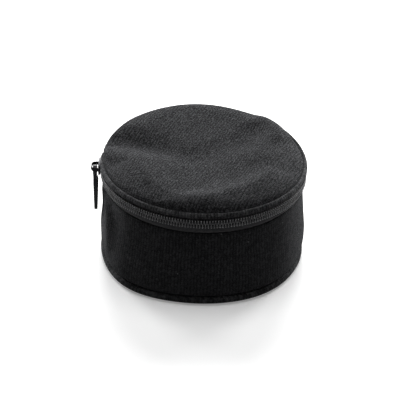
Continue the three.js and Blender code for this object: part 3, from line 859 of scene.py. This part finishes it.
def domed(name, inset, count=72):
    """A disc of square mesh that follows the lid's form, as far below its skin as the inset."""
    bpy.ops.object.select_all(action="DESELECT")
    bpy.ops.mesh.primitive_grid_add(x_subdivisions=count, y_subdivisions=count, size=2)
    piece = bpy.context.object
    piece.name = name
    for vertex in piece.data.vertices:
        x, y = vertex.co.x, vertex.co.y
        round_x = x * math.sqrt(1 - y * y / 2)
        round_y = y * math.sqrt(1 - x * x / 2)
        share = min(1.0, math.hypot(round_x, round_y))
        spread = math.sin(math.pi / 2 * share) / share if share else math.pi / 2
        x, y = round_x * spread * LID_RADIUS, round_y * spread * LID_RADIUS
        narrow = (LID_RADIUS - inset) / LID_RADIUS
        height = LID_LEVEL + lid_height(x, y) - inset
        vertex.co = (x * narrow * MM, y * narrow * MM, height * MM)
    return piece


def map_over(piece, turn):
    """Lays the cloth's map over the lid as it was cut, measured along the cloth from the middle."""
    length = [0.0]
    for step in range(1, MAP_STEPS + 1):
        near, far = [LID_RADIUS * end / MAP_STEPS for end in (step - 1, step)]
        drop = rolled_edge(near, LID_FACE, LID_RISE) - rolled_edge(far, LID_FACE, LID_RISE)
        length.append(length[-1] + math.hypot(far - near, drop))
    layer = piece.data.uv_layers.new(name="cloth")
    along, across = math.cos(math.radians(turn)), math.sin(math.radians(turn))
    for loop in piece.data.loops:
        point = piece.data.vertices[loop.vertex_index].co
        plan = math.hypot(point.x, point.y) / MM
        step = min(MAP_STEPS, round(plan / LID_RADIUS * MAP_STEPS))
        spread = length[step] / (step / MAP_STEPS * LID_RADIUS) if step else 1.0
        layer.data[loop.index].uv = ((point.x * along + point.y * across) * spread,
                                     (point.y * along - point.x * across) * spread)


def swell(piece, held, pressure, growth, cap):
    """Blows up a sheet by cloth simulation; held gives the points that are sewn down.

    The cloth may grow by a share of itself, and no point moves further than the cap in mm."""
    start = [vertex.co.copy() for vertex in piece.data.vertices]
    pins = piece.vertex_groups.new(name="sewn")
    pins.add([vertex.index for vertex in piece.data.vertices if held(vertex.co)], 1.0, "REPLACE")
    only(piece)
    cloth = piece.modifiers.new("cloth", "CLOTH")
    cloth.settings.quality = 6
    cloth.settings.mass = 0.2
    cloth.settings.use_pressure = True
    cloth.settings.uniform_pressure_force = pressure
    cloth.settings.vertex_group_mass = "sewn"
    cloth.settings.shrink_min = -growth
    cloth.settings.effector_weights.gravity = 0
    last_frame = 20
    cloth.point_cache.frame_start = 1
    cloth.point_cache.frame_end = last_frame
    for frame_number in range(1, last_frame + 1):
        bpy.context.scene.frame_set(frame_number)
    bpy.ops.object.modifier_apply(modifier=cloth.name)
    bpy.context.scene.frame_set(1)
    for vertex, before in zip(piece.data.vertices, start):
        moved = vertex.co - before
        if moved.length > cap * MM:
            vertex.co = before + moved.normalized() * (cap * MM)
    piece.vertex_groups.clear()


def at_lid_seam(point):
    """Whether a point of the lid is held by the seam round its edge."""
    return math.hypot(point.x, point.y) > (LID_RADIUS - SEWN_EDGE) * MM


lid_top = domed("lid_top", inset=0)
map_over(lid_top, LID_TURN)
swell(lid_top, at_lid_seam, pressure=3.0, growth=0.008, cap=0.7)
finish_cloth(lid_top, KNIT_THICKNESS)
lift_back(lid_top)
for bulge in LID_SIDE_BULGES:
    push_out(lid_top, *bulge)
lid_top.data.materials.append(knit_material("lid_knit", ribs=0.9, grain=1.35))
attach(lid_top, "lid")
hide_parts("lid_panel")

# Inside of the lid: a pad of foam and a nylon lining that follow the skin, and a binding tape
# folded over their edge where they are sewn to the band.
PAD_DEPTH = 1.1
PAD_THICKNESS = 2.2
LID_LINING_DEPTH = 3.75
LID_INNER_COUNT = 32
PAD_RADIUS = 44
lid_pad = domed("lid_foam_pad", PAD_DEPTH, LID_INNER_COUNT)
finish_cloth(lid_pad, PAD_THICKNESS, levels=0)
wrap_uv(lid_pad, PAD_RADIUS)
lid_pad.data.materials.append(foam_material)
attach(lid_pad, "lid")
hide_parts("lid_foam")

lid_lining = domed("lid_lining_cloth", LID_LINING_DEPTH, LID_INNER_COUNT)
finish_cloth(lid_lining, LINING_THICKNESS, levels=0)
plan_uv(lid_lining, 0)
lid_lining.data.materials.append(lining_material)
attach(lid_lining, "lid")
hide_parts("lid_lining")

inner_layer("lid_binding_tape",
            [(43.1, 44.9), (42.5, 44.35), (41.6, 43.5), (40.7, 42.6), (40.2, 42.0)],
            BINDING_THICKNESS, "lid_binding", binding_material, "lid")

# Hinge: where the zip stops at the back, a piece of knit joins wall and lid; on the pouch it
# folds when the lid swings up. Its lining lies just inside it.
HINGE_ARC = (60, 120)
HINGE_LINING_ARC = (58.8, 121.2)
HINGE_LINING_RADIUS = 43.5


def hinge_strip(name, outline, arc, thickness, node, material, radius):
    """A strip that bends from the wall to the lid."""
    piece = rings(name, outline, SIDES, arc)
    finish_cloth(piece, thickness)
    wrap_uv(piece, radius)
    piece.data.materials.append(material)
    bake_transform(piece)
    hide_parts(node)


hinge_knit = knit_material("hinge_knit", ribs=1.0, grain=0.6, wale=whole_wales(WALL_RADIUS))
hinge_strip("hinge_cover",
            [(43.5, 34.9), (43.6, 35.7), (44.0, 36.3), (44.6, 36.7), (45.05, 37.6), (45.25, 39.2),
             (45.35, 41.0), (45.3, 43.0), (45.05, 44.8), (44.7, 45.8), (44.3, 46.3)],
            HINGE_ARC, KNIT_THICKNESS, "hinge_panel", hinge_knit, WALL_RADIUS)
hinge_strip("hinge_lining_cloth",
            [(43.3, 35.7), (43.5, 36.6), (43.55, 38.5), (43.6, 40.5), (43.55, 42.5), (43.5, 44.5),
             (43.4, 45.3)],
            HINGE_LINING_ARC, LINING_THICKNESS, "hinge_lining", lining_material,
            HINGE_LINING_RADIUS)

# Slider: die-cast zinc with a dark, mirror-like plating, as on the crown over its face and on the
# pull. The chain runs through it, and its wedge parts the two coils.
METAL_DARK = (0.004, 0.004, 0.0045, 1)
METAL_LIGHT = (0.014, 0.014, 0.015, 1)
metal_material, tree, shader = new_material("dark_plating")
place = add_node(tree, "TexCoord").outputs["Object"]
haze = noise_value(tree, place, scale=500.0, detail=4.0, roughness=0.6)
shaded(tree, shader, haze, METAL_DARK, METAL_LIGHT)
tree.links.new(calculate(tree, "MULTIPLY_ADD", haze, 0.16, 0.14), shader.inputs["Roughness"])
shader.inputs["Metallic"].default_value = 1.0
bump(tree, haze, shader, 0.02 * MM)


def cast_piece(name, node, body, edge, segments):
    """The same casting as its CAD solid, with its corners rounded as a worn mould leaves them."""
    piece = bpy.data.objects.new(name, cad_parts[node].data.copy())
    bpy.context.scene.collection.objects.link(piece)
    only(piece)
    bpy.ops.object.mode_set(mode="EDIT")
    bpy.ops.mesh.select_all(action="SELECT")
    bpy.ops.mesh.remove_doubles(threshold=0.002 * MM)
    bpy.ops.mesh.dissolve_limited(angle_limit=math.radians(2))
    bpy.ops.object.mode_set(mode="OBJECT")
    corners = piece.modifiers.new("corners", "BEVEL")
    corners.width = edge * MM
    corners.segments = segments
    corners.limit_method = "ANGLE"
    corners.angle_limit = math.radians(40)
    bpy.ops.object.modifier_apply(modifier=corners.name)
    bpy.ops.object.shade_smooth_by_angle(angle=math.radians(50))
    piece.data.materials.clear()
    piece.data.materials.append(metal_material)
    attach(piece, body)
    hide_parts(node)
    return piece


cast_piece("slider_casting", "slider_body", "slider", edge=0.14, segments=2)

# Crown: an oval bar of the same plated zinc, bent to a bridge between the two ends of the
# slider's front plate. The pull hangs on it.
SLIDER_AZIMUTH = math.radians(125.5)
OUTWARD = Vector((math.cos(SLIDER_AZIMUTH), math.sin(SLIDER_AZIMUTH), 0))
ALONG = Vector((-math.sin(SLIDER_AZIMUTH), math.cos(SLIDER_AZIMUTH), 0))
CROWN_WIRE = 0.45
CROWN_ROUNDNESS = 4
CROWN_STEPS = 24
CROWN_BEND = 0.6
CROWN_OVAL = 2.0


def crown_arch(name):
    """The bridge, fitted to the place and size of its CAD solid."""
    corners = [vertex.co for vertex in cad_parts["slider_crown"].data.vertices]
    foot = min(corner.dot(OUTWARD) for corner in corners)
    rise = max(corner.dot(OUTWARD) for corner in corners) - CROWN_WIRE * MM - foot
    half = max(corner.dot(ALONG) for corner in corners) - CROWN_WIRE * MM
    points = []
    for step in range(CROWN_STEPS + 1):
        angle = math.pi * step / CROWN_STEPS
        out = foot + rise * squared(math.sin(angle), CROWN_BEND)
        points.append(OUTWARD * out + ALONG * (half * squared(math.cos(angle), CROWN_BEND)))
    piece = wire(name, points, CROWN_WIRE, CROWN_ROUNDNESS)
    for vertex in piece.data.vertices:
        vertex.co.z = vertex.co.z * CROWN_OVAL + CHAIN_LEVEL * MM
    piece.data.materials.append(metal_material)
    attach(piece, "slider")
    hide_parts("slider_crown")


crown_arch("crown_bridge")

# Pull: a flat casting whose ring hangs on the crown. It is fuller at the back below its ring and
# thins towards its tip.
PULL_FULLER = 0.7
PULL_RING = 3
PULL_LENGTH = 23.2
pull_casting = cast_piece("pull_casting", "pull_tab", "pull", edge=0.35, segments=3)
depths = [vertex.co.dot(OUTWARD) for vertex in pull_casting.data.vertices]
mid_depth = (min(depths) + max(depths)) / 2
for vertex, depth in zip(pull_casting.data.vertices, depths):
    drop = CHAIN_LEVEL - vertex.co.z / MM
    if depth < mid_depth and drop > PULL_RING:
        share = min(1.0, (drop - PULL_RING) / PULL_RING) * (1 - drop / PULL_LENGTH)
        vertex.co -= OUTWARD * (PULL_FULLER * share * MM)

# Studio: a plain white floor that keeps a soft shadow, a high lamp behind the pouch and one
# overhead, two low ones that draw its edges, and the camera.
AIM = Vector((0, 0, 0.025))
FLOOR_RADIUS = 0.55
FLOOR_SIDES = 96
FLOOR_LEVEL = -0.0002
CAMERA_AZIMUTH = math.radians(-55)
CAMERA_ELEVATION = math.radians(32)
CAMERA_DISTANCE = 0.6
CAMERA_ROLL = math.radians(1.55)
PICTURE_WIDTH = 400
PIXELS_ASIDE = -2.8
PIXELS_UP = 0.4


def toward(azimuth, elevation):
    """The direction from the pouch to a viewer at that azimuth and elevation, in radians."""
    return Vector((math.sin(azimuth) * math.cos(elevation),
                   -math.cos(azimuth) * math.cos(elevation), math.sin(elevation)))


def seen_directly(tree):
    """1 for what the camera sees, also through glass or in a mirror, and 0 for other light."""
    path = add_node(tree, "LightPath")
    seen = calculate(tree, "MAXIMUM", path.outputs["Is Camera Ray"], path.outputs["Is Glossy Ray"])
    return calculate(tree, "MAXIMUM", seen, path.outputs["Is Transmission Ray"])


bpy.ops.object.select_all(action="DESELECT")
bpy.ops.mesh.primitive_circle_add(vertices=FLOOR_SIDES, radius=FLOOR_RADIUS, fill_type="NGON",
                                  location=(0, 0, FLOOR_LEVEL))
floor = bpy.context.object
floor.name = "studio_floor"
bpy.ops.object.transform_apply(location=True)
floor_material, tree, shader = new_material("white_floor")
shader.inputs["Roughness"].default_value = 0.9
seen = seen_directly(tree)
shade = calculate(tree, "MULTIPLY_ADD", seen, 0.72, 0.2)
pale = add_node(tree, "CombineColor")
for socket in pale.inputs[:3]:
    tree.links.new(shade, socket)
tree.links.new(pale.outputs[0], shader.inputs["Base Color"])
shader.inputs["Emission Color"].default_value = (1, 1, 1, 1)
tree.links.new(calculate(tree, "MULTIPLY", seen, 0.22), shader.inputs["Emission Strength"])
floor.data.materials.append(floor_material)

world = bpy.data.worlds.new("studio")
bpy.context.scene.world = world
world.use_nodes = True
tree = world.node_tree
back = tree.nodes["Background"]
back.inputs["Color"].default_value = (1, 1, 1, 1)
brightness = calculate(tree, "MULTIPLY_ADD", seen_directly(tree), 0.87, 0.13)
tree.links.new(brightness, back.inputs["Strength"])


def lamp(name, azimuth, elevation, distance, size, power):
    """A round lamp that faces the pouch; degrees, metres and watts."""
    light = bpy.data.lights.new(name, "AREA")
    light.shape = "DISK"
    light.size = size
    light.energy = power
    piece = bpy.data.objects.new(name, light)
    bpy.context.scene.collection.objects.link(piece)
    back_to = toward(math.radians(azimuth), math.radians(elevation))
    piece.location = AIM + back_to * distance
    piece.rotation_mode = "QUATERNION"
    piece.rotation_quaternion = (-back_to).to_track_quat("-Z", "Y")


lamp("high_back", azimuth=125, elevation=36, distance=0.9, size=0.6, power=11.2)
lamp("overhead", azimuth=125, elevation=89, distance=0.9, size=0.6, power=4.0)
lamp("left_edge", azimuth=168, elevation=8, distance=0.8, size=0.3, power=7.0)
lamp("right_edge", azimuth=85, elevation=8, distance=0.8, size=0.3, power=7.6)

camera = bpy.data.cameras.new("camera")
camera.lens = 118.8
camera.sensor_width = 36
camera.shift_x = PIXELS_ASIDE / PICTURE_WIDTH
camera.shift_y = PIXELS_UP / PICTURE_WIDTH
view = bpy.data.objects.new("camera", camera)
bpy.context.scene.collection.objects.link(view)
facing = toward(CAMERA_AZIMUTH, CAMERA_ELEVATION)
view.location = AIM + facing * CAMERA_DISTANCE
view.rotation_euler = (-facing).to_track_quat("-Z", "Y").to_euler()
view.rotation_euler.rotate_axis("Z", CAMERA_ROLL)
bpy.context.scene.camera = view
bpy.context.scene.view_settings.view_transform = "Standard"
